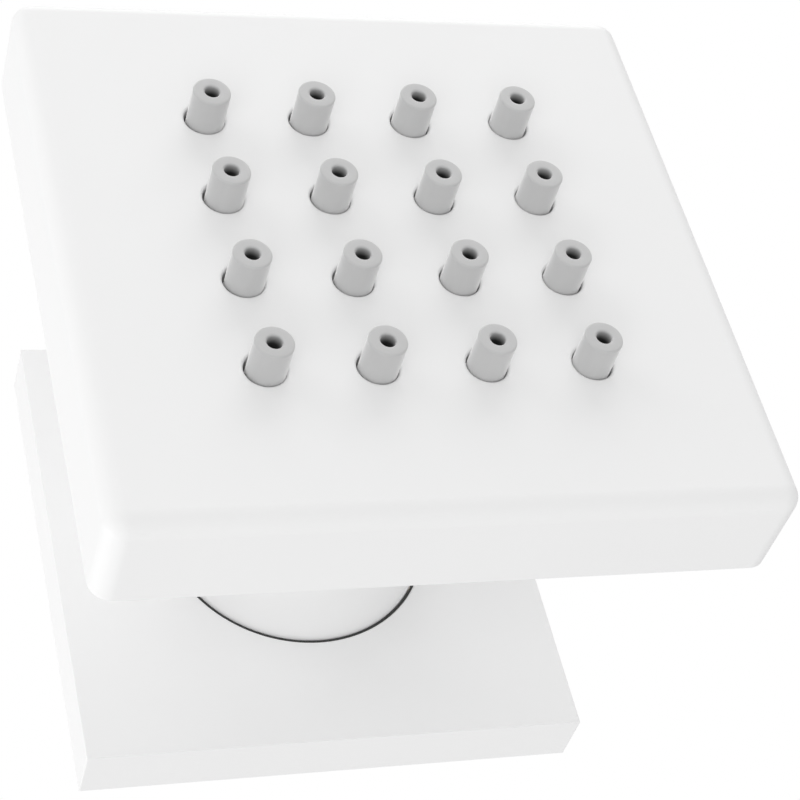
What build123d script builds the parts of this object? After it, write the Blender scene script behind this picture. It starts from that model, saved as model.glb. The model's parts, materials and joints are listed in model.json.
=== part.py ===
from build123d import *
from math import acos, asin, cos, degrees, radians, sin
import os

# Square shower body jet: a spray head on a ball joint, at the end of a round neck that stands
# out of a square wall plate. The origin is on the wall, on the inlet's axis. X runs to the
# right as seen from the front, Z runs up, and the jet reaches out of the wall along -Y.

# Overall sizes
plate_side = 51.0
plate_depth = 6.0
neck_reach = 35.0  # from the plate's front to the back of the head
head_side = 62.0
head_depth = 10.0
head_corner = 2.0  # radius of the four corner edges
head_front_edge = 1.9  # radius round the front

# Clearances
thread_fit = 0.05  # radial, between screwed or drilled pieces
ball_fit = 0.1  # radial, on each side of the liners
seal_fit = 0.1  # round an O-ring in its groove
neck_fit = 0.35  # radial gap round the neck at the plate
drop_in_fit = 0.15  # round pieces dropped into the head or the plate
nozzle_fit = 0.12  # radial gap round a nozzle in the head's front

# Inlet nipple
thread_diameter = 20.955  # G 1/2 pipe thread over its crests
thread_length = 13.0
thread_chamfer = 1.0
inlet_bore = 13.0
hex_across = 24.0  # spanner flats at the wall, under the plate
hex_depth = 2.6
spigot_diameter = 20.0  # front end, screwed into the neck
spigot_length = 7.0
nipple_ring_cord = 1.8
nipple_ring_setback = 3.4  # from the spigot's front to the middle of its O-ring

# Strainer and flow restrictor in front of the nipple
strainer_diameter = 16.0
strainer_depth = 0.6
strainer_hole = 1.4
strainer_hole_pitch = 2.1
restrictor_depth = 2.8
restrictor_hole = 1.5
restrictor_holes = 8
restrictor_circle = 9.0
waterway = 10.8

# Ball joint
ball_diameter = 19.0
ball_setback = 12.5  # from the back of the head to the ball's centre
swing = 12.0  # tilt up, down, left and right, in degrees
swing_room = 3.0  # degrees left beyond the swing
liner_wall = 1.2
seal_angle = 45.0  # from the axis to where the seal meets the ball
seal_cord = 1.8
nut_wall = 1.5
neck_wall = 1.2  # round the retaining nut's thread
nut_lip = 0.25
nut_flange = 2.5
nut_edge = 0.6
nut_rear_gap = 0.2
nut_slots = 4
nut_slot_width = 3.0
nut_slot_depth = 1.2

# Stem between the ball and the head
stem_diameter = 10.0
stem_bore = 6.5
stem_mouth = 8.4
stem_hex_across = 14.0
stem_hex_depth = 1.3
stem_ring_cord = 1.5

# Wall plate
plate_front_wall = 2.5
plate_rim = 2.2
plate_collar = 3.5
plate_lip = 1.2  # in front of the O-ring that grips the neck
plate_ring_cord = 1.6
ring_lip = 0.2  # thickness of the lip on that O-ring, which closes the gap round the neck
ring_lip_setback = 0.15  # from the plate's front to the lip

# Spray head, from its front to its back
head_front_wall = 2.0
head_side_wall = 2.2
mat_sheet = 1.2
spray_plate_depth = 1.5
chamber_seal_depth = 0.8
cover_wall = 2.0
cover_recess = 0.4  # how far the cover lies inside the back edge
cover_rim = 1.6
chamber_margin = 4.5  # from the outer nozzles to the chamber's wall
boss_wall = 3.2  # round the stem's thread
flow_gap = 1.0  # between the stem's end and the spray plate

# Nozzles
nozzle_rows = 4
nozzle_margin = 16.0  # from the head's sides to the outer nozzles' axes
nozzle_diameter = 3.55
nozzle_height = 3.55  # beyond the front
nozzle_bore = 1.3
nozzle_tip_wall = 0.45  # thickness of the tip round the bore
nozzle_cavity = 2.2  # diameter behind the tip
nozzle_inlet = 2.6  # diameter at the back of the mat
nozzle_tip_edge = 0.2
nozzle_hole_edge = 0.3
spray_hole = 3.0

# Screws that hold the cover
screw_inset = 6.2  # from the head's sides
screw_boss = 4.8
screw_diameter = 2.5
screw_head = 4.6
screw_length = 6.0
screw_pilot_end = 0.8  # solid left between the pilot hole and the front wall
screw_slot = 0.6
screw_slot_depth = 0.7

# Places along the axis, measured out from the wall
head_back = plate_depth + neck_reach
head_front = head_back + head_depth
mat_front = head_front - head_front_wall
mat_back = mat_front - mat_sheet
spray_plate_back = mat_back - spray_plate_depth
chamber_seal_back = spray_plate_back - chamber_seal_depth
cover_back = head_back + cover_recess
cover_front = cover_back + cover_wall
stem_end = spray_plate_back - flow_gap
ball_height = head_back - ball_setback
nipple_front = hex_depth + spigot_length
restrictor_back = nipple_front + strainer_depth
restrictor_front = restrictor_back + restrictor_depth

# Radii about the axis
ball_radius = ball_diameter / 2
liner_inner = ball_radius + ball_fit
liner_outer = liner_inner + liner_wall
socket_radius = liner_outer + ball_fit
nut_radius = socket_radius + nut_wall
neck_radius = nut_radius + neck_wall
neck_socket = spigot_diameter / 2 + thread_fit
stem_radius = stem_diameter / 2

# Angles round the ball, in degrees: a tilt both ways at once swings the stem the furthest
full_swing = degrees(acos(cos(radians(swing)) ** 2))
mouth_angle = degrees(asin(stem_radius / socket_radius)) + full_swing + swing_room
liner_edge = (swing + swing_room) / 2
front_liner_edge = 90 - mouth_angle - swing - swing_room
seal_reach = ball_radius + ball_fit + seal_cord / 2
seal_edge = seal_angle + degrees(asin(seal_cord / 2 / seal_reach))
rear_liner_edge = 90 - seal_edge - full_swing - swing_room

# The retaining nut's mouth clears the stem at its furthest swing
nut_mouth = socket_radius * sin(radians(mouth_angle))
nut_front = ball_height + socket_radius * cos(radians(mouth_angle)) + nut_lip
nut_seat = nut_front - nut_flange

# The front and the inside of the head
head_inside = head_side - 2 * head_side_wall
drop_in_side = head_inside - 2 * drop_in_fit
nozzle_span = head_side - 2 * nozzle_margin
nozzle_pitch = nozzle_span / (nozzle_rows - 1)
chamber_side = nozzle_span + 2 * chamber_margin
screw_spacing = head_side - 2 * screw_inset

# Section through the axis: radius to the right, distance out of the wall upwards
section = Plane(origin=(0, 0, 0), x_dir=(1, 0, 0), z_dir=(0, 0, -1))


def level(height):
    """Plane parallel to the wall, facing out of it."""
    return Plane.XZ.offset(height)


def nozzle_places(height):
    """Centres of the nozzles on one level of the head."""
    grid = GridLocations(nozzle_pitch, nozzle_pitch, nozzle_rows, nozzle_rows)
    return [level(height) * place for place in grid.locations]


def screw_places(height):
    """Centres of the four cover screws on one level of the head."""
    grid = GridLocations(screw_spacing, screw_spacing, 2, 2)
    return [level(height) * place for place in grid.locations]


def save(piece, name):
    """Label a finished piece and write it to its own file."""
    piece.part.label = name
    export_step(piece.part, f"parts/{name}.step")


def o_ring(centre_radius, height, cord):
    """Ring of round cord about the axis."""
    with BuildPart() as ring:
        with BuildSketch(section):
            with Locations((centre_radius, height)):
                Circle(cord / 2)
        revolve(axis=Axis.Y)
    return ring


def ball_zone(low, high):
    """Liner between the ball and its socket, from one angle off the equator to another."""
    with BuildPart() as zone:
        with BuildSketch(section):
            with BuildLine():
                inner = CenterArc((0, ball_height), liner_inner, low, high - low)
                outer = CenterArc((0, ball_height), liner_outer, low, high - low)
                Line(inner @ 0, outer @ 0)
                Line(inner @ 1, outer @ 1)
            make_face()
        revolve(axis=Axis.Y)
    return zone


os.makedirs("parts", exist_ok=True)

# Inlet nipple: pipe thread for the wall, spanner flats, and a spigot that carries the neck
nipple_ring_radius = neck_socket - seal_fit - nipple_ring_cord / 2
nipple_ring_height = nipple_front - nipple_ring_setback

with BuildPart() as inlet_nipple:
    with BuildSketch(level(-thread_length)):
        Circle(thread_diameter / 2)
    extrude(amount=thread_length)
    chamfer(inlet_nipple.edges().sort_by(Axis.Y)[-1], thread_chamfer)
    with BuildSketch(level(0)):
        RegularPolygon(hex_across / 2, 6, major_radius=False)
        Circle(neck_radius, mode=Mode.INTERSECT)
    extrude(amount=hex_depth)
    with BuildSketch(level(hex_depth)):
        Circle(spigot_diameter / 2)
    extrude(amount=spigot_length)
    with BuildSketch(section):
        with Locations((nipple_ring_radius, nipple_ring_height)):
            Rectangle(
                2 * (neck_socket - nipple_ring_radius),
                nipple_ring_cord + 2 * seal_fit,
            )
    revolve(axis=Axis.Y, mode=Mode.SUBTRACT)
    with BuildSketch(level(-thread_length)):
        Circle(inlet_bore / 2)
    extrude(amount=thread_length + nipple_front, mode=Mode.SUBTRACT)
save(inlet_nipple, "inlet_nipple")

nipple_o_ring = o_ring(nipple_ring_radius, nipple_ring_height, nipple_ring_cord)
save(nipple_o_ring, "nipple_o_ring")

# Strainer: a disc with two rings of holes round a middle one
with BuildPart() as inlet_strainer:
    with BuildSketch(level(nipple_front)):
        Circle(strainer_diameter / 2)
        Circle(strainer_hole / 2, mode=Mode.SUBTRACT)
        with PolarLocations(strainer_hole_pitch, 6):
            Circle(strainer_hole / 2, mode=Mode.SUBTRACT)
        with PolarLocations(2 * strainer_hole_pitch, 12):
            Circle(strainer_hole / 2, mode=Mode.SUBTRACT)
    extrude(amount=strainer_depth)
save(inlet_strainer, "inlet_strainer")

# Flow restrictor: a thicker disc behind the neck's shoulder
with BuildPart() as flow_restrictor:
    with BuildSketch(level(restrictor_back)):
        Circle(strainer_diameter / 2)
        with PolarLocations(restrictor_circle / 2, restrictor_holes):
            Circle(restrictor_hole / 2, mode=Mode.SUBTRACT)
    extrude(amount=restrictor_depth)
save(flow_restrictor, "flow_restrictor")

# Seal behind the ball, pressed against it by the water
seal_radius = seal_reach * sin(radians(seal_angle))
seal_height = ball_height - seal_reach * cos(radians(seal_angle))
seal_groove = seal_radius + seal_cord / 2 + seal_fit
seal_floor = seal_height - seal_cord / 2 - seal_fit

ball_seal = o_ring(seal_radius, seal_height, seal_cord)
save(ball_seal, "ball_seal")

# Neck body: nipple socket at the back, half of the ball's socket and the nut's thread in front
neck_thread = nut_radius + thread_fit
restrictor_seat = strainer_diameter / 2 + thread_fit

with BuildPart() as neck_body:
    with BuildSketch(section):
        with BuildLine():
            socket = CenterArc(
                (0, ball_height), socket_radius, 0, -degrees(acos(seal_groove / socket_radius))
            )
            Polyline(
                socket @ 1,
                (seal_groove, seal_floor),
                (waterway / 2, seal_floor),
                (waterway / 2, restrictor_front),
                (restrictor_seat, restrictor_front),
                (restrictor_seat, nipple_front),
                (neck_socket, nipple_front),
                (neck_socket, hex_depth),
                (neck_radius, hex_depth),
                (neck_radius, nut_seat),
                (neck_thread, nut_seat),
                (neck_thread, ball_height),
                socket @ 0,
            )
        make_face()
    revolve(axis=Axis.Y)
save(neck_body, "neck_body")

# Retaining nut: the front half of the ball's socket, slotted for a pin spanner
nut_rear = ball_height + nut_rear_gap
nut_rear_angle = degrees(asin(nut_rear_gap / socket_radius))

with BuildPart() as retaining_nut:
    with BuildSketch(section):
        with BuildLine():
            socket = CenterArc(
                (0, ball_height),
                socket_radius,
                nut_rear_angle,
                90 - mouth_angle - nut_rear_angle,
            )
            Polyline(
                socket @ 1,
                (nut_mouth, nut_front),
                (neck_radius - nut_edge, nut_front),
                (neck_radius, nut_front - nut_edge),
                (neck_radius, nut_seat),
                (nut_radius, nut_seat),
                (nut_radius, nut_rear),
                socket @ 0,
            )
        make_face()
    revolve(axis=Axis.Y)
    with BuildSketch(level(nut_front)):
        with PolarLocations(neck_radius, nut_slots):
            Rectangle(2 * neck_wall, nut_slot_width)
    extrude(amount=-nut_slot_depth, mode=Mode.SUBTRACT)
save(retaining_nut, "retaining_nut")

# Liners on both sides of the ball's equator
front_ball_liner = ball_zone(liner_edge, front_liner_edge)
save(front_ball_liner, "front_ball_liner")

rear_ball_liner = ball_zone(-rear_liner_edge, -liner_edge)
save(rear_ball_liner, "rear_ball_liner")

# Wall plate: a shallow square tray with a collar that slides on the neck
plate_hole = neck_radius + neck_fit
plate_ring_radius = neck_radius + seal_fit + plate_ring_cord / 2
plate_ring_height = plate_depth - plate_lip - seal_fit - plate_ring_cord / 2
plate_collar_radius = plate_hole + plate_collar
plate_recess = plate_depth - plate_front_wall
plate_inside = plate_side - 2 * plate_rim

with BuildPart() as wall_plate:
    with BuildSketch(level(0)):
        Rectangle(plate_side, plate_side)
    extrude(amount=plate_depth)
    with BuildSketch(level(0)):
        Rectangle(plate_inside, plate_inside)
        Circle(plate_collar_radius, mode=Mode.SUBTRACT)
    extrude(amount=plate_recess, mode=Mode.SUBTRACT)
    with BuildSketch(level(0)):
        Circle(plate_hole)
    extrude(amount=plate_depth, mode=Mode.SUBTRACT)
    with BuildSketch(section):
        with Locations((plate_ring_radius, plate_ring_height)):
            Rectangle(plate_ring_cord + 2 * seal_fit, plate_ring_cord + 2 * seal_fit)
    revolve(axis=Axis.Y, mode=Mode.SUBTRACT)
save(wall_plate, "wall_plate")

# O-ring that grips the neck, with a thin lip that shows as a dark line round it
with BuildPart() as plate_o_ring:
    with BuildSketch(section):
        with Locations((plate_ring_radius, plate_ring_height)):
            Circle(plate_ring_cord / 2)
        with Locations((neck_radius + neck_fit / 2, plate_ring_height)):
            Rectangle(
                ring_lip,
                plate_depth - ring_lip_setback - plate_ring_height,
                align=(Align.CENTER, Align.MIN),
            )
    revolve(axis=Axis.Y)
save(plate_o_ring, "plate_o_ring")

# Foam seal that fills the back of the wall plate
with BuildPart() as wall_seal:
    with BuildSketch(level(0)):
        Rectangle(plate_inside - 2 * drop_in_fit, plate_inside - 2 * drop_in_fit)
        Circle(plate_collar_radius + drop_in_fit, mode=Mode.SUBTRACT)
    extrude(amount=plate_recess)
save(wall_seal, "wall_seal")

# Ball and hollow stem, turned in one piece, with a hexagon that seats on the head's cover
stem_junction = degrees(acos(stem_radius / ball_radius))
mouth_junction = degrees(acos(stem_mouth / 2 / ball_radius))

with BuildPart() as ball_stem:
    with BuildSketch(section):
        with BuildLine():
            ball = CenterArc(
                (0, ball_height), ball_radius, -mouth_junction, mouth_junction + stem_junction
            )
            mouth_height = (ball @ 0).Y + (stem_mouth - stem_bore) / 2
            Polyline(
                ball @ 1,
                (stem_radius, stem_end),
                (stem_bore / 2, stem_end),
                (stem_bore / 2, mouth_height),
                ball @ 0,
            )
        make_face()
    revolve(axis=Axis.Y)
    with BuildSketch(level(cover_back - stem_hex_depth)):
        RegularPolygon(stem_hex_across / 2, 6, major_radius=False)
        Circle(stem_radius, mode=Mode.SUBTRACT)
    extrude(amount=stem_hex_depth)
save(ball_stem, "ball_stem")

stem_ring_radius = stem_radius + seal_fit + stem_ring_cord / 2
stem_ring_height = cover_back + seal_fit + stem_ring_cord / 2
stem_o_ring = o_ring(stem_ring_radius, stem_ring_height, stem_ring_cord)
save(stem_o_ring, "stem_o_ring")

# Back cover of the head: a plate with the water chamber's wall and the stem's threaded boss
with BuildPart() as head_cover:
    with BuildSketch(level(cover_back)):
        RectangleRounded(drop_in_side, drop_in_side, head_corner / 2)
    extrude(amount=cover_wall)
    with BuildSketch(level(cover_front)):
        Rectangle(chamber_side + 2 * cover_rim, chamber_side + 2 * cover_rim)
        Rectangle(chamber_side, chamber_side, mode=Mode.SUBTRACT)
    extrude(amount=chamber_seal_back - cover_front)
    with BuildSketch(level(cover_front)):
        Circle(stem_radius + boss_wall)
    extrude(amount=stem_end - cover_front)
    with BuildSketch(level(cover_back)):
        Circle(stem_radius + thread_fit)
    extrude(amount=stem_end - cover_back, mode=Mode.SUBTRACT)
    with BuildSketch(level(cover_back)):
        Circle(stem_ring_radius + stem_ring_cord / 2 + seal_fit)
    extrude(amount=stem_ring_cord + 2 * seal_fit, mode=Mode.SUBTRACT)
    with Locations(*[place * Rot(180, 0, 0) for place in screw_places(cover_back)]):
        CounterSinkHole(
            screw_diameter / 2 + thread_fit, screw_head / 2 + thread_fit, cover_wall
        )
save(head_cover, "head_cover")

# Flat seal between the chamber's wall and the spray plate
with BuildPart() as chamber_seal:
    with BuildSketch(level(chamber_seal_back)):
        Rectangle(chamber_side + 2 * cover_rim, chamber_side + 2 * cover_rim)
        Rectangle(chamber_side, chamber_side, mode=Mode.SUBTRACT)
    extrude(amount=chamber_seal_depth)
save(chamber_seal, "chamber_seal")

# Spray plate: backs the mat and leads the water to each nozzle
boss_hole = screw_boss / 2 + drop_in_fit

with BuildPart() as spray_plate:
    with BuildSketch(level(spray_plate_back)):
        RectangleRounded(drop_in_side, drop_in_side, head_corner / 2)
        with GridLocations(nozzle_pitch, nozzle_pitch, nozzle_rows, nozzle_rows):
            Circle(spray_hole / 2, mode=Mode.SUBTRACT)
        with GridLocations(screw_spacing, screw_spacing, 2, 2):
            Circle(boss_hole, mode=Mode.SUBTRACT)
    extrude(amount=spray_plate_depth)
save(spray_plate, "spray_plate")

# Nozzle mat: one moulding of soft sheet and hollow nozzles, each with a small bore in its tip
nozzle_tip = head_front + nozzle_height
cavity_depth = nozzle_tip - nozzle_tip_wall - mat_back

with BuildPart() as nozzle_mat:
    with BuildSketch(level(mat_back)):
        RectangleRounded(drop_in_side, drop_in_side, head_corner / 2)
        with GridLocations(screw_spacing, screw_spacing, 2, 2):
            Circle(boss_hole, mode=Mode.SUBTRACT)
    extrude(amount=mat_sheet)
    with BuildSketch(level(mat_front)):
        with GridLocations(nozzle_pitch, nozzle_pitch, nozzle_rows, nozzle_rows):
            Circle(nozzle_diameter / 2)
    extrude(amount=nozzle_tip - mat_front)
    tips = nozzle_mat.faces().sort_by(Axis.Y)[: nozzle_rows**2]
    fillet(tips.edges(), nozzle_tip_edge)
    with Locations(*nozzle_places(nozzle_tip)):
        Hole(nozzle_bore / 2, nozzle_tip - mat_back)
    with Locations(*nozzle_places(mat_back)):
        Cone(
            nozzle_inlet / 2,
            nozzle_cavity / 2,
            cavity_depth,
            align=(Align.CENTER, Align.CENTER, Align.MIN),
            mode=Mode.SUBTRACT,
        )
save(nozzle_mat, "nozzle_mat")

# Shell of the head: front and sides in one piece, with rounded nozzle holes and screw bosses
pilot_depth = mat_front - cover_front - screw_pilot_end

with BuildPart() as head_shell:
    with BuildSketch(level(head_back)):
        RectangleRounded(head_side, head_side, head_corner)
    extrude(amount=head_depth)
    fillet(head_shell.faces().sort_by(Axis.Y)[0].edges(), head_front_edge)
    with BuildSketch(level(head_back)):
        RectangleRounded(head_inside, head_inside, head_corner / 2)
    extrude(amount=head_depth - head_front_wall, mode=Mode.SUBTRACT)
    with BuildSketch(level(cover_front)):
        with GridLocations(screw_spacing, screw_spacing, 2, 2):
            Circle(screw_boss / 2)
            Circle(screw_diameter / 2 + thread_fit, mode=Mode.SUBTRACT)
    extrude(amount=pilot_depth)
    with BuildSketch(level(cover_front + pilot_depth)):
        with GridLocations(screw_spacing, screw_spacing, 2, 2):
            Circle(screw_boss / 2)
    extrude(amount=screw_pilot_end)
    with BuildSketch(level(mat_front)):
        with GridLocations(nozzle_pitch, nozzle_pitch, nozzle_rows, nozzle_rows):
            Circle(nozzle_diameter / 2 + nozzle_fit)
    extrude(amount=head_front_wall, mode=Mode.SUBTRACT)
    front = head_shell.faces().sort_by(Axis.Y)[0]
    fillet(front.inner_wires().edges(), nozzle_hole_edge)
save(head_shell, "head_shell")

# Four countersunk screws from the back of the head into the shell's bosses
with BuildPart() as cover_screws:
    with BuildSketch(level(cover_back)):
        with GridLocations(screw_spacing, screw_spacing, 2, 2):
            Circle(screw_diameter / 2)
    extrude(amount=screw_length)
    head_taper = (screw_head - screw_diameter) / 2
    with Locations(*screw_places(cover_back)):
        Cone(
            screw_head / 2,
            screw_diameter / 2,
            head_taper,
            align=(Align.CENTER, Align.CENTER, Align.MIN),
        )
    with BuildSketch(level(cover_back)):
        with GridLocations(screw_spacing, screw_spacing, 2, 2):
            Rectangle(screw_diameter, screw_slot)
            Rectangle(screw_slot, screw_diameter)
    extrude(amount=screw_slot_depth, mode=Mode.SUBTRACT)
save(cover_screws, "cover_screws")
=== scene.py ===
# %% [markdown]
# # A square shower body jet
# A body jet is a small shower head that sits on the wall. This one is a square white head with
# sixteen soft grey nozzles, on a ball joint at the end of a round neck, and the neck comes
# through a square white wall plate. The solid model arrives as a fixed frame with every
# piece in its place. The lesson dresses that frame: it sets up the camera and the light,
# mixes the finishes, and models the pieces again with the soft edges that catch light.

# %% Load the frame
import bmesh
import bpy
import json
from math import acos, asin, cos, degrees, pi, radians, sin
from mathutils import Matrix, Vector

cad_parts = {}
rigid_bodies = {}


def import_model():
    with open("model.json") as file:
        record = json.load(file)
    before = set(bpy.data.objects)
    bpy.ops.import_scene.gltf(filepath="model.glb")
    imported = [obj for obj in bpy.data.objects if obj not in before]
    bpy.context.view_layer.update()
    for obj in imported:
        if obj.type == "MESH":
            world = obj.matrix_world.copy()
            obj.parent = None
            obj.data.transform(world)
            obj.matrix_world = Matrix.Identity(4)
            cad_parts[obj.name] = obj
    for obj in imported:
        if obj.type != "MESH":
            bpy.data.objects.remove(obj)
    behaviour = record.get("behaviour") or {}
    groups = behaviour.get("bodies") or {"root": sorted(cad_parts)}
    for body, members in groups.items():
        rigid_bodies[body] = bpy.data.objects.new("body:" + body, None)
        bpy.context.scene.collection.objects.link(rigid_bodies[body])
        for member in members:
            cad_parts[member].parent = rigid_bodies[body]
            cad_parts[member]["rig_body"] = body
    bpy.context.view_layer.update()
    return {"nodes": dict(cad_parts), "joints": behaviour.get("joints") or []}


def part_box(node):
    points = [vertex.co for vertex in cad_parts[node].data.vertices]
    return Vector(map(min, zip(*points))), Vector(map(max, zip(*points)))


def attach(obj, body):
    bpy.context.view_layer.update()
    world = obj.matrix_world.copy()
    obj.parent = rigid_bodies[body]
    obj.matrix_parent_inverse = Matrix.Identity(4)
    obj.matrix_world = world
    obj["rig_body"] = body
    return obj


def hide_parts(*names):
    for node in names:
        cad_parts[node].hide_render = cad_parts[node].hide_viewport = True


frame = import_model()
scene = bpy.context.scene
scene.view_settings.view_transform = "Standard"

# %% [markdown]
# ## Measuring
# Blender works in metres, and a fitting of this size is easier to think about in millimetres.
# The jet grows out of the wall along -Y, so every piece is described by its width and by how
# far out of the wall it starts and ends. Those numbers come from the frame's own boxes, so
# that a new piece lands on the old one without any fitting by hand.

# %% Measure a node
mm = 0.001


def measured(node):
    """Width of a node, and how far out of the wall it starts and ends, in millimetres."""
    low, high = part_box(node)
    return (high.x - low.x) / mm, -high.y / mm, -low.y / mm


head_side, head_back, head_front = measured("head_shell")
plate_side, plate_back, plate_front = measured("wall_plate")
print("head", round(head_side, 2), "mm, plate", round(plate_side, 2), "mm")

# %% [markdown]
# ## Camera
# The picture was taken from below and from the left, close enough to give a clear
# perspective. The place, the direction and the lens were solved from the nozzle grid and the
# straight edges. A camera looks along its own -Z, so its axes are the three columns of a
# rotation: right, up, and the reverse of the line of sight.

# %% Place the camera
sight = Vector((0.32748, 0.73809, 0.5899)).normalized()
upward = Vector((0.02233, -0.6302, 0.77611))
right = sight.cross(upward).normalized()
camera = bpy.data.objects.new("camera", bpy.data.cameras.new("camera"))
camera.data.lens = 101.89
camera.data.clip_start = 0.01
camera.location = Vector((-67.05, -193.24, -132.39)) * mm
camera.rotation_euler = Matrix((right, right.cross(sight), -sight)).transposed().to_euler()
scene.collection.objects.link(camera)
scene.camera = camera
print("camera", round(camera.location.length / mm), "mm from the wall fixing")

# %% [markdown]
# ## Node helpers
# The light and the finishes are drawn as node trees. Two kinds of node come up again and
# again: one that reckons with two numbers and one that mixes two colours. Each gets a helper,
# and each of its sockets takes a constant or a link from another socket.

# %% Reckon and mix
def fed(tree, socket, value):
    """Link a socket to another one, or give it a constant."""
    if isinstance(value, bpy.types.NodeSocket):
        tree.links.new(value, socket)
    else:
        socket.default_value = value


def reckoned(tree, operation, first, second):
    """Result of a Math node on two values."""
    node = tree.nodes.new("ShaderNodeMath")
    node.operation = operation
    fed(tree, node.inputs[0], first)
    fed(tree, node.inputs[1], second)
    return node.outputs[0]


def mixed(tree, factor, first, second):
    """Colour between two colours."""
    node = tree.nodes.new("ShaderNodeMix")
    node.data_type = "RGBA"
    fed(tree, node.inputs["Factor"], factor)
    fed(tree, node.inputs["A"], first)
    fed(tree, node.inputs["B"], second)
    return node.outputs["Result"]


def grey(value):
    """Neutral colour."""
    return (value, value, value, 1)


print("node helpers ready")

# %% [markdown]
# ## Light
# A white product on a white ground needs light from all sides, or its far faces turn grey.
# The world gives that even light, at about two thirds of full strength, while the camera and
# shiny surfaces see it as plain white. Four soft lamps do the rest. One above throws the
# nozzles' short shadows down the front. One on the upper left shines in behind the head, on
# the wall plate. One beside the camera opens up the undersides. The last, on the left and
# behind the front's own plane, makes the left sides the brightest without grazing the front.
# The floor is far below, because the jet hangs on a wall and the camera looks up at it. It is
# lifted a little for the eye only, so that it stays pale beside the white air.

# %% Even light from the world
def seen_directly(tree):
    """Socket that is 1 for rays to the eye, straight or by way of metal and glass, else 0."""
    path = tree.nodes.new("ShaderNodeLightPath")
    seen = path.outputs["Is Camera Ray"]
    for ray in ("Is Glossy Ray", "Is Transmission Ray"):
        seen = reckoned(tree, "MAXIMUM", seen, path.outputs[ray])
    return seen


even_light, white = 0.64, 1.0
world = bpy.data.worlds.new("white_studio")
world.use_nodes = True
scene.world = world
air = world.node_tree
level = air.nodes.new("ShaderNodeMapRange")
level.inputs["To Min"].default_value = even_light
level.inputs["To Max"].default_value = white
air.nodes["Background"].inputs["Color"].default_value = grey(1)
air.links.new(seen_directly(air), level.inputs["Value"])
air.links.new(level.outputs["Result"], air.nodes["Background"].inputs["Strength"])
print("world light", even_light)

# %% Lamps
def soft_lamp(name, place, size, strength):
    """Square lamp at a place in metres, turned to the jet, that adds this much to its light."""
    lamp = bpy.data.objects.new(name, bpy.data.lights.new(name, "AREA"))
    lamp.location = place
    lamp.data.size = size
    lamp.data.energy = strength * (pi * lamp.location.length) ** 2
    lamp.rotation_euler = lamp.location.to_track_quat("Z", "Y").to_euler()
    scene.collection.objects.link(lamp)
    return lamp


lamps = [
    soft_lamp("upper_lamp", (0.16, -0.28, 0.68), 0.65, 0.4),
    soft_lamp("upper_left_lamp", (-0.5, -0.29, 0.48), 0.5, 0.145),
    soft_lamp("camera_lamp", (-0.29, -0.5, -0.48), 0.5, 0.275),
    soft_lamp("left_rear_lamp", (-0.63, 0.36, -0.19), 0.5, 0.315),
]
print(len(lamps), "lamps")

# %% Floor
floor_reach, floor_level = 20.0, -0.8
floor_mesh = bmesh.new()
bmesh.ops.create_grid(floor_mesh, x_segments=1, y_segments=1, size=floor_reach)
bmesh.ops.translate(floor_mesh, verts=floor_mesh.verts, vec=(0, 0, floor_level))
floor = bpy.data.objects.new("floor", bpy.data.meshes.new("floor"))
floor_mesh.to_mesh(floor.data)
floor_mesh.free()
scene.collection.objects.link(floor)
print("floor at", floor_level, "m")

# %% Floor paint
floor_paint = bpy.data.materials.new("floor_paint")
floor_paint.use_nodes = True
floor_tree = floor_paint.node_tree
floor_shader = floor_tree.nodes["Principled BSDF"]
floor_shader.inputs["Base Color"].default_value = grey(0.95)
floor_shader.inputs["Roughness"].default_value = 1.0
floor_shader.inputs["Emission Strength"].default_value = 1.0
lift = mixed(floor_tree, seen_directly(floor_tree), grey(0), grey(0.22))
floor_tree.links.new(lift, floor_shader.inputs["Emission Color"])
floor.data.materials.append(floor_paint)
print(floor_paint.name)

# %% [markdown]
# ## Effects that several finishes share
# No real surface is one flat colour. Paint drifts a little in shade and gloss, moulded and
# sprayed skins have a fine relief, and turned metal keeps the rings of the tool. Each effect
# is a node group with named sockets, built once and placed in each finish with its own
# values. All of them read Object coordinates, which here are metres in the frame.

# %% Start a group
def effect(name, inputs, outputs):
    """Empty shader node group with the named sockets, and its input and output nodes."""
    group = bpy.data.node_groups.new(name, "ShaderNodeTree")
    for label, kind in inputs:
        group.interface.new_socket(label, in_out="INPUT", socket_type=kind)
    for label, kind in outputs:
        group.interface.new_socket(label, in_out="OUTPUT", socket_type=kind)
    return group, group.nodes.new("NodeGroupInput"), group.nodes.new("NodeGroupOutput")


VALUE, COLOUR, VECTOR = "NodeSocketFloat", "NodeSocketColor", "NodeSocketVector"
print("socket kinds:", VALUE, COLOUR, VECTOR)

# %% Drift of shade and gloss
shade_drift, given, result = effect(
    "shade_drift",
    [
        ("Vector", VECTOR),
        ("Scale", VALUE),
        ("Light", COLOUR),
        ("Dark", COLOUR),
        ("Smooth", VALUE),
        ("Rough", VALUE),
    ],
    [("Colour", COLOUR), ("Roughness", VALUE)],
)
cloud = shade_drift.nodes.new("ShaderNodeTexNoise")
cloud.inputs["Detail"].default_value = 4.0
gloss = shade_drift.nodes.new("ShaderNodeMapRange")
shade_drift.links.new(given.outputs["Vector"], cloud.inputs["Vector"])
shade_drift.links.new(given.outputs["Scale"], cloud.inputs["Scale"])
tint = mixed(shade_drift, cloud.outputs["Fac"], given.outputs["Light"], given.outputs["Dark"])
shade_drift.links.new(cloud.outputs["Fac"], gloss.inputs["Value"])
shade_drift.links.new(given.outputs["Smooth"], gloss.inputs["To Min"])
shade_drift.links.new(given.outputs["Rough"], gloss.inputs["To Max"])
shade_drift.links.new(tint, result.inputs["Colour"])
shade_drift.links.new(gloss.outputs["Result"], result.inputs["Roughness"])
print(shade_drift.name, len(shade_drift.nodes), "nodes")

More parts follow.
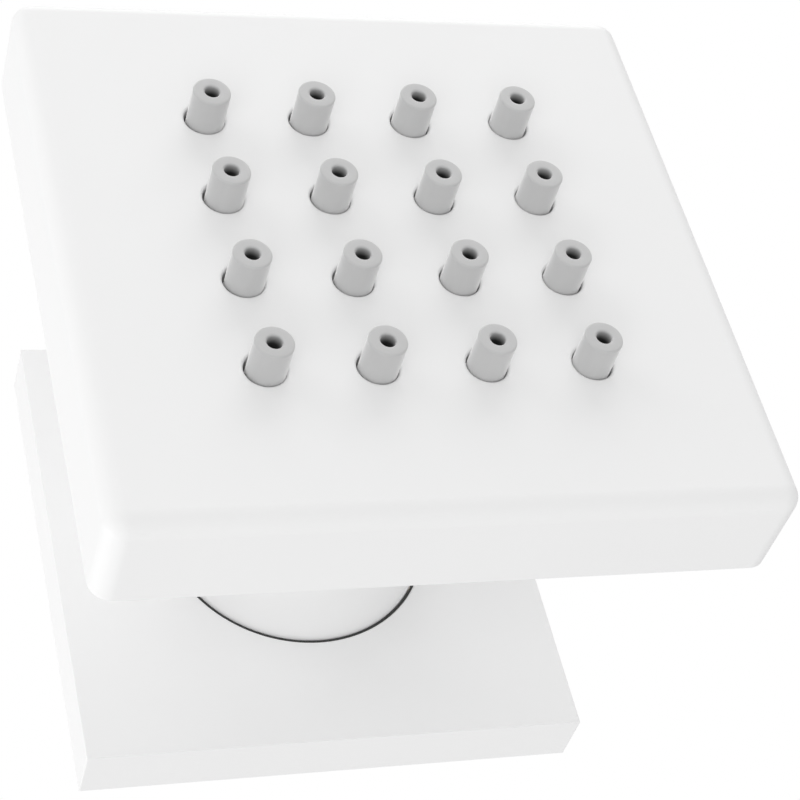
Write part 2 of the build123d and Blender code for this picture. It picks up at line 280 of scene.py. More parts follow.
# %% Fine relief of a sprayed or moulded skin
skin_relief, given, result = effect(
    "skin_relief",
    [("Vector", VECTOR), ("Scale", VALUE), ("Detail", VALUE)],
    [("Height", VALUE)],
)
grain = skin_relief.nodes.new("ShaderNodeTexNoise")
skin_relief.links.new(given.outputs["Vector"], grain.inputs["Vector"])
skin_relief.links.new(given.outputs["Scale"], grain.inputs["Scale"])
skin_relief.links.new(given.outputs["Detail"], grain.inputs["Detail"])
skin_relief.links.new(grain.outputs["Fac"], result.inputs["Height"])
print(skin_relief.name, len(skin_relief.nodes), "nodes")

# %% Rings left by the turning tool
tool_rings, given, result = effect(
    "tool_rings",
    [("Vector", VECTOR), ("Spacing", VALUE)],
    [("Height", VALUE)],
)
apart = tool_rings.nodes.new("ShaderNodeSeparateXYZ")
flat = tool_rings.nodes.new("ShaderNodeCombineXYZ")
reach = tool_rings.nodes.new("ShaderNodeVectorMath")
reach.operation = "LENGTH"
tool_rings.links.new(given.outputs["Vector"], apart.inputs["Vector"])
tool_rings.links.new(apart.outputs["X"], flat.inputs["X"])
tool_rings.links.new(apart.outputs["Z"], flat.inputs["Z"])
tool_rings.links.new(flat.outputs["Vector"], reach.inputs[0])
along = reckoned(tool_rings, "ADD", reach.outputs["Value"], apart.outputs["Y"])
turns = reckoned(tool_rings, "DIVIDE", along, given.outputs["Spacing"])
wave = reckoned(tool_rings, "PINGPONG", turns, 0.5)
tool_rings.links.new(wave, result.inputs["Height"])
print(tool_rings.name, len(tool_rings.nodes), "nodes")

# %% [markdown]
# ## Mixing a finish
# Every finish here is a Principled shader that takes its colour and its roughness from the
# drift and its normal from a relief. A small helper places those nodes. The finish's steady
# numbers, such as Metallic or the coat, go straight on the shader.

# %% Place effects in a material
def finish(name):
    """New material: the material, its nodes, its shader and the Object coordinates."""
    material = bpy.data.materials.new(name)
    material.use_nodes = True
    tree = material.node_tree
    place = tree.nodes.new("ShaderNodeTexCoord")
    return material, tree, tree.nodes["Principled BSDF"], place.outputs["Object"]


def placed(tree, group, place, **values):
    """Put a node group in a material, with its own values."""
    made = tree.nodes.new("ShaderNodeGroup")
    made.node_tree = group
    tree.links.new(place, made.inputs["Vector"])
    for label, value in values.items():
        made.inputs[label].default_value = value
    return made


def drifting(tree, shader, place, **values):
    """Colour and roughness that drift over the surface."""
    drift = placed(tree, shade_drift, place, **values)
    tree.links.new(drift.outputs["Colour"], shader.inputs["Base Color"])
    tree.links.new(drift.outputs["Roughness"], shader.inputs["Roughness"])
    return drift


def embossed(tree, shader, height, depth, strength):
    """Relief of a depth in millimetres, as a bump on the shader's normal."""
    bump = tree.nodes.new("ShaderNodeBump")
    bump.inputs["Strength"].default_value = strength
    bump.inputs["Distance"].default_value = depth * mm
    tree.links.new(height, bump.inputs["Height"])
    tree.links.new(bump.outputs["Normal"], shader.inputs["Normal"])
    return bump


print("finish helpers ready")

# %% [markdown]
# ## White lacquer
# The head, neck and plate are sprayed white with a satin lacquer. Sprayed lacquer is never
# quite level: it keeps a faint, wide waviness that painters call orange peel. A noise about
# two millimetres wide, only microns deep, breaks up the highlights in that way.

# %% White lacquer
lacquer, tree, shader, place = finish("satin_lacquer")
shader.inputs["Specular IOR Level"].default_value = 0.15
drifting(
    tree, shader, place, Scale=60.0, Light=grey(0.885), Dark=grey(0.87), Smooth=0.34, Rough=0.44
)
peel = placed(tree, skin_relief, place, Scale=420.0, Detail=1.0)
embossed(tree, shader, peel.outputs["Height"], 0.02, 0.12)
print(lacquer.name)

# %% [markdown]
# ## Grey silicone
# The nozzles are soft silicone, so that lime can be rubbed off them. Moulded silicone is
# matte and slightly powdery, with a fine grain from the mould, and the powder lights up where
# a round side turns away. Inside the nozzles, where little light gets in, a painted shade
# darkens the colour. It is mixed in near the axis of each nozzle, which the Wrap node finds by
# folding the whole grid into one square, and it deepens over the first millimetre behind the tip.

# %% Grey silicone
nozzle_pitch = 10.0
nozzle_tip = measured("nozzle_mat")[2]
silicone, tree, shader, place = finish("soft_silicone")
shader.inputs["Sheen Weight"].default_value = 1.0
shader.inputs["Sheen Roughness"].default_value = 0.4
drift = drifting(
    tree, shader, place, Scale=300.0, Light=grey(0.525), Dark=grey(0.495), Smooth=0.5, Rough=0.65
)
mould_grain = placed(tree, skin_relief, place, Scale=5000.0, Detail=3.0)
embossed(tree, shader, mould_grain.outputs["Height"], 0.02, 0.25)
print(silicone.name)

# %% Painted shade inside the nozzles
dark_radius, dark_depth = 1.5, 1.05
half_square = Vector((1, 0, 1)) * nozzle_pitch / 2 * mm
shifted = tree.nodes.new("ShaderNodeVectorMath")
shifted.inputs[1].default_value = half_square
folded = tree.nodes.new("ShaderNodeVectorMath")
folded.operation = "WRAP"
folded.inputs[1].default_value = half_square
folded.inputs[2].default_value = -half_square
off_axis = tree.nodes.new("ShaderNodeVectorMath")
off_axis.operation = "LENGTH"
apart = tree.nodes.new("ShaderNodeSeparateXYZ")
deeper = tree.nodes.new("ShaderNodeMapRange")
deeper.inputs["From Min"].default_value = -nozzle_tip * mm
deeper.inputs["From Max"].default_value = -(nozzle_tip - dark_depth) * mm
tree.links.new(place, shifted.inputs[0])
tree.links.new(shifted.outputs["Vector"], folded.inputs[0])
tree.links.new(folded.outputs["Vector"], off_axis.inputs[0])
tree.links.new(place, apart.inputs["Vector"])
tree.links.new(apart.outputs["Y"], deeper.inputs["Value"])
near_axis = reckoned(tree, "LESS_THAN", off_axis.outputs["Value"], dark_radius * mm)
inside = reckoned(tree, "MULTIPLY", near_axis, deeper.outputs["Result"])
# Painted shade: the bore's colour goes nearly black where little light reaches inside.
painted_bore_shade = mixed(tree, inside, drift.outputs["Colour"], grey(0.02))
tree.links.new(painted_bore_shade, shader.inputs["Base Color"])
print("dark within", dark_radius, "mm of each axis")

# %% [markdown]
# ## Metals
# The nipple behind the plate is bare brass, the ball and stem are plated, and the screws and
# the strainer are steel. What tells them apart is the colour of their reflection. Fine rings
# from the lathe stretch the highlights round the axis.

# %% Bare brass
brass, tree, shader, place = finish("turned_brass")
shader.inputs["Metallic"].default_value = 1.0
drifting(
    tree, shader, place, Scale=220.0, Light=(0.80, 0.60, 0.31, 1), Dark=(0.66, 0.46, 0.21, 1),
    Smooth=0.26, Rough=0.42,
)
rings = placed(tree, tool_rings, place, Spacing=0.0003)
embossed(tree, shader, rings.outputs["Height"], 0.02, 0.25)
print(brass.name)

# %% Plated brass
plating, tree, shader, place = finish("bright_plating")
shader.inputs["Metallic"].default_value = 1.0
drifting(
    tree, shader, place, Scale=180.0, Light=(0.80, 0.80, 0.81, 1), Dark=(0.72, 0.72, 0.74, 1),
    Smooth=0.08, Rough=0.16,
)
rings = placed(tree, tool_rings, place, Spacing=0.0004)
embossed(tree, shader, rings.outputs["Height"], 0.01, 0.08)
print(plating.name)

# %% Steel
steel, tree, shader, place = finish("plain_steel")
shader.inputs["Metallic"].default_value = 1.0
drifting(
    tree, shader, place, Scale=500.0, Light=(0.66, 0.66, 0.67, 1), Dark=(0.55, 0.55, 0.57, 1),
    Smooth=0.28, Rough=0.42,
)
rings = placed(tree, tool_rings, place, Spacing=0.00025)
embossed(tree, shader, rings.outputs["Height"], 0.02, 0.2)
print(steel.name)

# %% [markdown]
# ## Seals and plastics
# The O-rings are black rubber with a dull bloom. The liners, the restrictor and the spray
# plate are moulded plastic, plain and slightly waxy.

# %% Black rubber
rubber, tree, shader, place = finish("seal_rubber")
drifting(
    tree, shader, place, Scale=700.0, Light=grey(0.05), Dark=grey(0.03), Smooth=0.5, Rough=0.75
)
bloom = placed(tree, skin_relief, place, Scale=4000.0, Detail=3.0)
embossed(tree, shader, bloom.outputs["Height"], 0.02, 0.2)
print(rubber.name)

# %% Moulded plastics
def moulded(name, light, dark):
    """Moulded plastic between two greys."""
    material, tree, shader, place = finish(name)
    drifting(tree, shader, place, Scale=150.0, Light=light, Dark=dark, Smooth=0.4, Rough=0.55)
    spark = placed(tree, skin_relief, place, Scale=3000.0, Detail=2.0)
    embossed(tree, shader, spark.outputs["Height"], 0.01, 0.15)
    return material


white_plastic = moulded("waxy_white", (0.85, 0.85, 0.83, 1), (0.82, 0.82, 0.79, 1))
grey_plastic = moulded("waxy_grey", (0.46, 0.46, 0.47, 1), (0.42, 0.42, 0.43, 1))
print(white_plastic.name, grey_plastic.name)

# %% [markdown]
# ## Foam
# A die-cut foam pad in the back of the plate keeps water off the wall. Closed-cell foam cut
# with a knife shows its cells as tiny pits. A Voronoi pattern gives both the pits and a
# painted shade that darkens them towards their middles.

# %% Foam
foam, tree, shader, place = finish("cut_foam")
cells = tree.nodes.new("ShaderNodeTexVoronoi")
cells.inputs["Scale"].default_value = 1400.0
shader.inputs["Roughness"].default_value = 0.95
tree.links.new(place, cells.inputs["Vector"])
# Painted shade: each pit's colour is darker towards its deepest middle.
shade = mixed(tree, cells.outputs["Distance"], grey(0.09), grey(0.24))
tree.links.new(shade, shader.inputs["Base Color"])
embossed(tree, shader, cells.outputs["Distance"], 0.3, 0.6)
print(foam.name)

# %% [markdown]
# ## Modelling helpers
# Most of the jet is turned or square. A turned piece is half a section spun round an axis. A
# square piece is a block with rounded corner edges, whose flat faces are opened and filled
# again round their holes, and a tray is a block with a smaller one let into its back. The
# helpers wrap the bmesh operators with the values that matter. The meshes are built in
# millimetres, because bmesh takes points closer than 0.03 units for one when it fills a face,
# and only a finished piece is scaled to metres.

# %% Turned shapes
def arc(centre, radius, start, end, count):
    """Points of a section on an arc, in millimetres and degrees."""
    angles = [radians(start + (end - start) * i / count) for i in range(count + 1)]
    return [(centre[0] + radius * cos(a), centre[1] + radius * sin(a)) for a in angles]


def spun(mesh, section, steps, places=((0, 0),), closed=False):
    """Spin a section of (radius, distance out of the wall) points, and put a copy at each place."""
    turned = bmesh.new()
    points = [turned.verts.new((radius, -out, 0)) for radius, out in section]
    lines = [turned.edges.new(pair) for pair in zip(points, points[1:])]
    if closed:
        lines.append(turned.edges.new((points[-1], points[0])))
    bmesh.ops.spin(
        turned, geom=points + lines, cent=(0, 0, 0), axis=(0, 1, 0),
        angle=2 * pi, steps=steps, use_merge=True,
    )
    copied = bpy.data.meshes.new("turned")
    for x, z in places:
        bmesh.ops.translate(turned, verts=turned.verts, vec=(x, 0, z))
        turned.to_mesh(copied)
        mesh.from_mesh(copied)
        bmesh.ops.translate(turned, verts=turned.verts, vec=(-x, 0, -z))
    turned.free()


print("turned shapes ready")

# %% Square shapes
tolerance = 0.001


def rounded_edges(mesh, edges, radius, segments):
    """Round some edges to a radius in millimetres."""
    bmesh.ops.bevel(
        mesh, geom=edges, offset=radius, offset_type="OFFSET", affect="EDGES",
        segments=segments, profile=0.5, material=-1,
    )


def at_level(element, out):
    """True if all of an edge or face lies at one distance out of the wall."""
    return all(abs(v.co.y + out) < tolerance for v in element.verts)


def uprights(points):
    """The edges between some points of a prism that run out of the wall."""
    edges = dict.fromkeys(e for v in points for e in v.link_edges)
    return [e for e in edges if abs(e.verts[0].co.y - e.verts[1].co.y) > tolerance]


def block(mesh, side, back, front, corner, segments):
    """Square block between two distances out of the wall, with rounded corner edges."""
    corners = bmesh.ops.create_cube(mesh, size=1.0)["verts"]
    bmesh.ops.scale(mesh, verts=corners, vec=(side, front - back, side))
    bmesh.ops.translate(mesh, verts=corners, vec=(0, -(front + back) / 2, 0))
    rounded_edges(mesh, uprights(corners), corner, segments)


print("square shapes ready")

# %% Flat faces with holes
def flats(mesh, out):
    """The flat faces at one distance out of the wall."""
    return [f for f in mesh.faces if at_level(f, out)]


def opened(mesh, faces):
    """Take away faces and leave their edges."""
    bmesh.ops.delete(mesh, geom=faces, context="FACES_ONLY")


def filled(mesh, out):
    """Fill the flat between all open loops at one distance out of the wall."""
    rims = [e for e in mesh.edges if len(e.link_faces) < 2 and at_level(e, out)]
    bmesh.ops.triangle_fill(mesh, edges=rims, use_beauty=True, normal=(0, -1, 0))


def hollowed(mesh, side, back, bottom, corner):
    """Hollow a block from its back with a square pocket, and leave the pocket's bottom open."""
    opened(mesh, flats(mesh, back))
    block(mesh, side, back, bottom, corner, 8)
    opened(mesh, flats(mesh, back) + flats(mesh, bottom))
    filled(mesh, back)


print("flat faces ready")

# %% Edges drawn out
def drawn(mesh, edges):
    """Draw faces out of some edges: the new points, still in place, and the new edges."""
    made = bmesh.ops.extrude_edge_only(mesh, edges=edges)["geom"]
    points = [v for v in made if isinstance(v, bmesh.types.BMVert)]
    return points, [e for e in made if isinstance(e, bmesh.types.BMEdge)]


def from_axis(point):
    """Distance of a point from the inlet's axis."""
    return Vector((point.x, point.z)).length


print("drawn edges ready")

# %% [markdown]
# A finished mesh gets the same last steps each time. Sharp edges are softened a little,
# because a perfectly sharp edge never catches the light. Doubles are merged and the normals
# turned outwards. A Weighted Normal modifier keeps the big flats flat beside small rounds.

# %% Finish a piece
sharp_angle = radians(40)


def softened(mesh, width):
    """Round every edge that turns by more than the sharp angle."""
    sharp = [
        e for e in mesh.edges if len(e.link_faces) == 2 and e.calc_face_angle() > sharp_angle
    ]
    rounded_edges(mesh, sharp, width, 2)


def piece(mesh, node, material, edge=0.0):
    """Make a mesh the visible piece for a node, on the same body, with one material."""
    bmesh.ops.remove_doubles(mesh, verts=mesh.verts, dist=tolerance)
    bmesh.ops.recalc_face_normals(mesh, faces=mesh.faces)
    if edge:
        softened(mesh, edge)
    bmesh.ops.scale(mesh, verts=mesh.verts, vec=(mm, mm, mm))
    made = bpy.data.objects.new(node + "_piece", bpy.data.meshes.new(node + "_piece"))
    mesh.to_mesh(made.data)
    open_edges = sum(len(e.link_faces) != 2 for e in mesh.edges)
    mesh.free()
    made.data.shade_smooth()
    made.data.set_sharp_from_angle(angle=sharp_angle)
    made.data.materials.append(material)
    scene.collection.objects.link(made)
    weighted = made.modifiers.new("flat_faces", "WEIGHTED_NORMAL")
    weighted.keep_sharp = True
    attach(made, frame["nodes"][node]["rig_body"])
    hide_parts(node)
    print(made.name, len(made.data.polygons), "faces,", open_edges, "open edges")
    return made


print("finishing ready")

# %% [markdown]
# ## Head shell
# The front and sides of the head are one piece with a soft front edge. A block gets its
# corner edges rounded first and its front rim second, so that the two rounds meet cleanly.
# The front is then opened, sixteen rounded holes are spun in place, and the flat between
# them is filled. The same is done with the floor inside, where four bosses take the screws.
# Soft nozzles shrink towards the middle and sag, so each hole sits a little outwards of its
# nozzle and above it, and the dark gap between them is wider on one side.

# %% Nozzle and screw places
screw_place = 24.8
rows = [-1.5, -0.5, 0.5, 1.5]
nozzle_places = [(x * nozzle_pitch, z * nozzle_pitch) for x in rows for z in rows]
shrinkage, sag = 0.006, 0.06
hole_places = [(x * (1 + shrinkage), z + sag) for x, z in nozzle_places]
screw_places = [(x * screw_place, z * screw_place) for x in (-1, 1) for z in (-1, 1)]
print(len(nozzle_places), "nozzles,", len(screw_places), "screws")

# %% Outside and pocket of the shell
shell = bmesh.new()
front_wall, rim_width, pocket_corner = 2.0, 2.2, 1.0
corner_round, front_round = 2.0, 1.9
inside_front = head_front - front_wall
block(shell, head_side, head_back, head_front, corner_round, 16)
rounded_edges(shell, [e for e in shell.edges if at_level(e, head_front)], front_round, 16)
opened(shell, flats(shell, head_front))
hollowed(shell, head_side - 2 * rim_width, head_back, inside_front, pocket_corner)
print("shell", len(shell.faces), "faces")

# %% Holes and bosses of the shell
nozzle_radius, hole_gap, hole_edge = 1.775, 0.12, 0.3
hole_radius = nozzle_radius + hole_gap
hole_rim = arc((hole_radius + hole_edge, head_front - hole_edge), hole_edge, 90, 180, 6)
hole = [(hole_radius + 2 * hole_edge, head_front), *hole_rim, (hole_radius, inside_front)]
spun(shell, hole, 64, hole_places)
boss_radius, boss_back = 2.4, 43.4
pilot_radius, pilot_end = 1.3, 48.2
boss = [
    (boss_radius, inside_front), (boss_radius, boss_back), (pilot_radius, boss_back),
    (pilot_radius, pilot_end), (0, pilot_end),
]
spun(shell, boss, 32, screw_places)
filled(shell, head_front)
filled(shell, inside_front)
piece(shell, "head_shell", lacquer)

# %% [markdown]
# ## Nozzle mat
# All the nozzles are one soft moulding: a thin sheet behind the front wall, with a hollow
# peg standing through each hole. A peg is spun from its base up over the rounded tip, through
# the small bore and down the wide hollow behind it.

# %% Nozzle mat
mat = bmesh.new()
mat_side, mat_back, _ = measured("nozzle_mat")
mat_corner, boss_hole = 1.0, 2.55
block(mat, mat_side, mat_back, inside_front, mat_corner, 8)
opened(mat, flats(mat, mat_back) + flats(mat, inside_front))
tip_round, bore_round, bore_radius, bore_length = 0.2, 0.2, 0.7, 1.8
hollow_front, hollow_back = 1.1, 1.3
behind_tip = nozzle_tip - bore_length
tip_edge = arc((nozzle_radius - tip_round, nozzle_tip - tip_round), tip_round, 0, 90, 6)
bore_edge = arc((bore_radius + bore_round, nozzle_tip - bore_round), bore_round, 90, 180, 6)
hollow = [(bore_radius, behind_tip), (hollow_front, behind_tip), (hollow_back, mat_back)]
spun(mat, [(nozzle_radius, inside_front), *tip_edge, *bore_edge, *hollow], 64, nozzle_places)
spun(mat, [(boss_hole, inside_front), (boss_hole, mat_back)], 32, screw_places)
filled(mat, inside_front)
filled(mat, mat_back)
piece(mat, "nozzle_mat", silicone)

# %% [markdown]
# ## Head cover and screws
# The back of the head is closed by a flat cover. It carries the stem in a threaded boss and
# the walls of the water chamber, and four countersunk screws with crossed slots hold it.

# %% Head cover
cover = bmesh.new()
cover_side, cover_back, chamber_top = measured("head_cover")
cover_corner, cover_front = 1.0, cover_back + 2.0
stem_end = measured("ball_stem")[2]
block(cover, cover_side, cover_back, cover_front, cover_corner, 8)
opened(cover, flats(cover, cover_back) + flats(cover, cover_front))
ring_seat, seat_floor = 6.7, cover_back + 1.7
stem_hole, stem_boss = 5.05, 8.2
boss = [
    (ring_seat, cover_back), (ring_seat, seat_floor), (stem_hole, seat_floor),
    (stem_hole, stem_end), (stem_boss, stem_end), (stem_boss, cover_front),
]
spun(cover, boss, 96)
sink_radius, shank_hole, sink_floor = 2.35, 1.3, cover_back + 1.05
sink = [(sink_radius, cover_back), (shank_hole, sink_floor), (shank_hole, cover_front)]
spun(cover, sink, 48, screw_places)
filled(cover, cover_back)
filled(cover, cover_front)
print("cover", len(cover.faces), "faces")

# %% Chamber wall of the cover
chamber_inside, chamber_outside, chamber_corner = 39.0, 42.2, 0.3
wall_foot = cover_front - 0.5
for side in (chamber_inside, chamber_outside):
    block(cover, side, wall_foot, chamber_top, chamber_corner, 3)
opened(cover, flats(cover, wall_foot) + flats(cover, chamber_top))
filled(cover, wall_foot)
filled(cover, chamber_top)
piece(cover, "head_cover", lacquer, edge=0.1)

# %% Cover screws
screws = bmesh.new()
screw_head, head_edge, shank = 2.3, 0.08, 1.25
screw_tip, tip_taper = cover_back + 6.0, 0.2
screw = [
    (screw_head - head_edge, cover_back), (screw_head, cover_back + head_edge),
    (shank, sink_floor), (shank, screw_tip - tip_taper), (shank - tip_taper, screw_tip),
    (0, screw_tip),
]
spun(screws, screw, 48, screw_places)
arm, slot, slot_depth = 1.25, 0.3, 0.7
cross = [(arm, slot), (slot, slot), (slot, arm), (-slot, arm), (-slot, slot), (-arm, slot)]
cross += [(-x, -z) for x, z in cross]
for x, z in screw_places:
    corners = [screws.verts.new((x + u, -cover_back, z + w)) for u, w in cross]
    rim = [screws.edges.new(pair) for pair in zip(corners, corners[1:] + corners[:1])]
    foot, _ = drawn(screws, rim)
    bmesh.ops.translate(screws, verts=foot, vec=(0, -slot_depth, 0))
filled(screws, cover_back)
filled(screws, cover_back + slot_depth)
piece(screws, "cover_screws", steel)

# %% [markdown]
# ## Ball and stem
# The ball and the hollow stem are turned from one bar, so their half section is one closed
# line: round the ball, along the stem, and back down the bore. The hexagon for the spanner
# is a six-sided prism slipped over the stem.

# %% Ball and hollow stem
stem = bmesh.new()
ball_width, ball_back, _ = measured("ball_stem")
ball_out = -next(j["pos_m"][1] for j in frame["joints"] if j["name"] == "head_turn") / mm
ball_radius = ball_width / 2
stem_radius, stem_edge, mouth_radius, stem_bore = 5.0, 0.4, 4.2, 3.25
ball_start = -degrees(acos(mouth_radius / ball_radius))
ball = arc((0, ball_out), ball_radius, ball_start, degrees(acos(stem_radius / ball_radius)), 48)
tip = [(stem_radius, stem_end - stem_edge), (stem_radius - stem_edge, stem_end)]
bore = [(stem_bore, stem_end), (stem_bore, ball_back + mouth_radius - stem_bore)]
spun(stem, [*ball, *tip, *bore], 128, closed=True)
print("stem", len(stem.faces), "faces")

# %% Hexagon of the stem
def hexagon(mesh, across, back, front, corner=0.0):
    """Six-sided prism round the axis, with its points to the left and right, rounded or not."""
    radius = across / 2 / cos(pi / 6)
    made = bmesh.ops.create_cone(
        mesh, cap_ends=True, segments=6, radius1=radius, radius2=radius, depth=front - back
    )["verts"]
    bmesh.ops.rotate(mesh, verts=made, matrix=Matrix.Rotation(pi / 2, 3, "Z"))
    bmesh.ops.rotate(mesh, verts=made, matrix=Matrix.Rotation(pi / 2, 3, "X"))
    bmesh.ops.translate(mesh, verts=made, vec=(0, -(front + back) / 2, 0))
    if corner:
        rounded_edges(mesh, uprights(made), corner, 3)


stem_flats, hexagon_height = 14.0, 1.3
hexagon(stem, stem_flats, cover_back - hexagon_height, cover_back)
piece(stem, "ball_stem", plating, edge=0.15)

# %% [markdown]
# ## Retaining nut
# The nut holds the ball in the neck. Four slots in its rim take a pin spanner. They are cut
# from the spun ring, which is first turned by half a step so that whole faces lie even about
# each slot: those faces are deleted, the inner edge is drawn down to the slot's floor and out
# to the rim, and the two ends are filled.

# %% Ring of the nut
nut = bmesh.new()
nut_width, nut_back, nut_front = measured("retaining_nut")
nut_radius, nut_edge, nut_steps = nut_width / 2, 0.6, 144
socket_radius, mouth_angle = 10.9, 47.2
slot_radius, slot_floor = 12.4, nut_front - 1.2
nut_seat = nut_front - 2.5
socket_start = degrees(asin((nut_back - ball_out) / socket_radius))
socket = arc((0, ball_out), socket_radius, socket_start, 90 - mouth_angle, 24)
rim = [
    (socket[-1][0], nut_front), (slot_radius, nut_front), (nut_radius - nut_edge, nut_front),
    (nut_radius, nut_front - nut_edge), (nut_radius, slot_floor), (nut_radius, nut_seat),
    (slot_radius, nut_seat), (slot_radius, nut_back),
]
spun(nut, [*socket, *rim], nut_steps, closed=True)
bmesh.ops.rotate(nut, verts=nut.verts, matrix=Matrix.Rotation(pi / nut_steps, 3, "Y"))
print("nut", len(nut.faces), "faces")

# %% Slots of the nut
half_slot = 1.5
cut = []
for face in nut.faces:
    centre = face.calc_center_median()
    in_rim = from_axis(centre) > slot_radius and -centre.y > slot_floor
    if in_rim and min(abs(centre.x), abs(centre.z)) < half_slot:
        cut.append(face)
bmesh.ops.delete(nut, geom=cut, context="FACES")
lip = [
    e for e in nut.edges
    if e.is_boundary and at_level(e, nut_front)
    and all(from_axis(v.co) < slot_radius + 10 * tolerance for v in e.verts)
]
points, lines = drawn(nut, lip)
bmesh.ops.translate(nut, verts=points, vec=(0, nut_front - slot_floor, 0))
points, lines = drawn(nut, lines)
wider = nut_radius / slot_radius
bmesh.ops.scale(nut, verts=points, vec=(wider, 1, wider))
bmesh.ops.remove_doubles(nut, verts=nut.verts, dist=tolerance)
bmesh.ops.holes_fill(nut, edges=[e for e in nut.edges if e.is_boundary], sides=12)
piece(nut, "retaining_nut", lacquer)

# %% [markdown]
# ## Neck
# The neck is a turned tube, plain outside. Inside it has the socket for the nipple at the
# back, the waterway in the middle, and the rear half of the ball's socket in front.

# %% Neck
neck = bmesh.new()
neck_width, neck_back, neck_front = measured("neck_body")
neck_radius, nut_socket = neck_width / 2, 12.45
seal_groove, seal_floor = 8.425, 20.075
waterway, waterway_back = 5.4, 13.0
strainer_seat, seat_back = 8.05, 9.6
nipple_socket = 10.05
socket = arc((0, ball_out), socket_radius, 0, -degrees(acos(seal_groove / socket_radius)), 24)
passage = [
    (seal_groove, seal_floor), (waterway, seal_floor), (waterway, waterway_back),
    (strainer_seat, waterway_back), (strainer_seat, seat_back), (nipple_socket, seat_back),
    (nipple_socket, neck_back),
]
outside = [
    (neck_radius, neck_back), (neck_radius, neck_front), (nut_socket, neck_front),
    (nut_socket, ball_out),
]
spun(neck, [*socket, *passage, *outside], 128, closed=True)
piece(neck, "neck_body", lacquer, edge=0.12)

# %% [markdown]
# ## Wall plate
# The plate is a shallow tray with crisp edges. A collar round the hole slides on the neck and
# holds an O-ring in a groove, so the plate stays where it is pushed. The ring has a thin lip
# that nearly reaches the front, and the hole's edge is barely broken: together they draw a
# thin dark line round the neck.

# %% Wall plate
plate = bmesh.new()
plate_corner, plate_edge, recess, recess_corner = 0.15, 0.12, 3.5, 0.4
block(plate, plate_side, plate_back, plate_front, plate_corner, 3)
rounded_edges(plate, [e for e in plate.edges if at_level(e, plate_front)], plate_edge, 3)
opened(plate, flats(plate, plate_front))
hollowed(plate, plate_side - 2 * rim_width, plate_back, recess, recess_corner)
neck_hole, broken_edge = neck_radius + 0.35, 0.1
collar_radius = neck_hole + 3.5
groove_radius, groove_back, groove_front = neck_radius + 1.8, 3.0, 4.8
collar = [
    (neck_hole + 4 * broken_edge, plate_front), (neck_hole + broken_edge, plate_front),
    (neck_hole, plate_front - broken_edge), (neck_hole, groove_front),
    (groove_radius, groove_front), (groove_radius, groove_back), (neck_hole, groove_back),
    (neck_hole, plate_back), (collar_radius, plate_back), (collar_radius, recess),
]
spun(plate, collar, 128)
filled(plate, plate_front)
filled(plate, recess)
piece(plate, "wall_plate", lacquer)

# %% Plate O-ring
ring = bmesh.new()
ring_width, ring_back, lip_front = measured("plate_o_ring")
cord = 0.8
ring_middle = ring_back + cord
ring_centre = ring_width / 2 - cord
lip_inside, lip_outside = neck_radius + 0.075, neck_radius + 0.275
lip_foot = degrees(acos((lip_outside - ring_centre) / cord))
bead = arc((ring_centre, ring_middle), cord, lip_foot, -180, 24)
lip = [(lip_inside, ring_middle), (lip_inside, lip_front), (lip_outside, lip_front)]
spun(ring, [*bead, *lip], 128, closed=True)
piece(ring, "plate_o_ring", rubber)

# %% [markdown]
# ## Foam seal
# The pad fills the back of the plate. It is cut from sheet, so its faces are flat, but foam
# is soft and its cut edges roll over. The edge is rounded more than on the hard pieces.

# %% Foam seal
pad = bmesh.new()
pad_side, pad_back, pad_front = measured("wall_seal")
pad_corner, pad_hole = 0.6, collar_radius + 0.15
block(pad, pad_side, pad_back, pad_front, pad_corner, 4)
opened(pad, flats(pad, pad_back) + flats(pad, pad_front))
spun(pad, [(pad_hole, pad_back), (pad_hole, pad_front)], 128)
filled(pad, pad_back)
filled(pad, pad_front)
seal = piece(pad, "wall_seal", foam, edge=0.45)

# %% [markdown]
# ## Inlet nipple
# The nipple screws into the wall. The body is spun, the hexagon is a prism, and the pipe
# thread is a real helix: one tooth of the thread, spun with a step along the axis each time.
# The ends of the helix are cut flat, the tip is tapered so that the thread starts easily, and
# the flats at both ends close the shape.

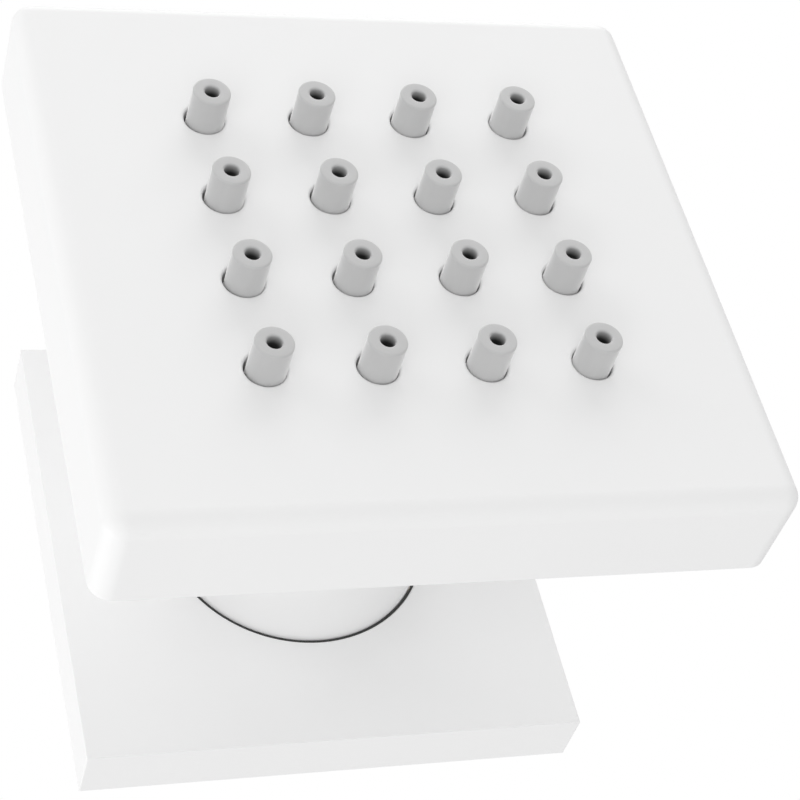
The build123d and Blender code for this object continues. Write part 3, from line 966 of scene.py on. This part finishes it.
# %% Thread
nipple = bmesh.new()
_, nipple_back, nipple_front = measured("inlet_nipple")
crest, depth, pitch = 20.955 / 2, 1.162, 1.814
flank = [
    (0.5, 0), (0.45, 0.02), (0.4, 0.075), (0.36, 0.17), (0.14, 0.83), (0.1, 0.925), (0.05, 0.98)
]
tooth = [(-z, f) for z, f in flank] + [(0, 1)] + [(z, f) for z, f in reversed(flank)]
start, rounds, steps_round = 3.0, 10, 72
points = [
    nipple.verts.new((crest - depth + depth * f, -start + z * pitch, 0)) for z, f in tooth
]
lines = [nipple.edges.new(pair) for pair in zip(points, points[1:])]
bmesh.ops.spin(
    nipple, geom=points + lines, cent=(0, 0, 0), axis=(0, 1, 0), angle=2 * pi,
    steps=steps_round, dvec=(0, pitch / steps_round, 0),
)
first_round = nipple.verts[:] + nipple.edges[:] + nipple.faces[:]
for i in range(1, rounds):
    copied = bmesh.ops.duplicate(nipple, geom=first_round)["geom"]
    moved = [v for v in copied if isinstance(v, bmesh.types.BMVert)]
    bmesh.ops.translate(nipple, verts=moved, vec=(0, i * pitch, 0))
bmesh.ops.remove_doubles(nipple, verts=nipple.verts, dist=tolerance)
print("thread", len(nipple.faces), "faces")

# %% Ends of the thread
hidden_end, taper = 1.0, 1.0
for out, side in ((nipple_back, 1), (hidden_end, -1)):
    bmesh.ops.bisect_plane(
        nipple, geom=nipple.verts[:] + nipple.edges[:] + nipple.faces[:], dist=tolerance / 10,
        plane_co=(0, -out, 0), plane_no=(0, side, 0), clear_outer=True,
    )
for v in nipple.verts:
    limit = crest - max(v.co.y + nipple_back + taper, 0)
    narrower = limit / from_axis(v.co)
    if narrower < 1:
        bmesh.ops.scale(nipple, verts=[v], vec=(narrower, 1, narrower))
print("cut thread", len(nipple.faces), "faces")

# %% Body of the nipple
nipple_bore, thread_foot = 6.5, 9.0
spigot, spigot_edge = 10.0, 0.3
ring_groove, groove_back, groove_front = 8.05, 5.2, 7.2
body = [
    (nipple_bore, nipple_back), (nipple_bore, nipple_front),
    (spigot - spigot_edge, nipple_front), (spigot, nipple_front - spigot_edge),
    (spigot, groove_front), (ring_groove, groove_front), (ring_groove, groove_back),
    (spigot, groove_back), (spigot, hidden_end), (thread_foot, hidden_end),
]
spun(nipple, body, 128)
filled(nipple, nipple_back)
filled(nipple, hidden_end)
nipple_flats, flange_front, flange_round = 24.0, 2.6, 1.0
hexagon(nipple, nipple_flats, 0, flange_front, flange_round)
piece(nipple, "inlet_nipple", brass)

# %% [markdown]
# ## Pieces that keep their solid
# The other pieces are inside the jet, and their solids already have the right shape. They
# only get the finish that they have in reality.

# %% Finishes for the inner pieces
inner = {
    "nipple_o_ring": rubber,
    "ball_seal": rubber,
    "stem_o_ring": rubber,
    "chamber_seal": rubber,
    "inlet_strainer": steel,
    "flow_restrictor": white_plastic,
    "front_ball_liner": white_plastic,
    "rear_ball_liner": white_plastic,
    "spray_plate": grey_plastic,
}
for name, material in inner.items():
    frame["nodes"][name].material_slots[0].material = material
print(len(inner), "inner pieces")
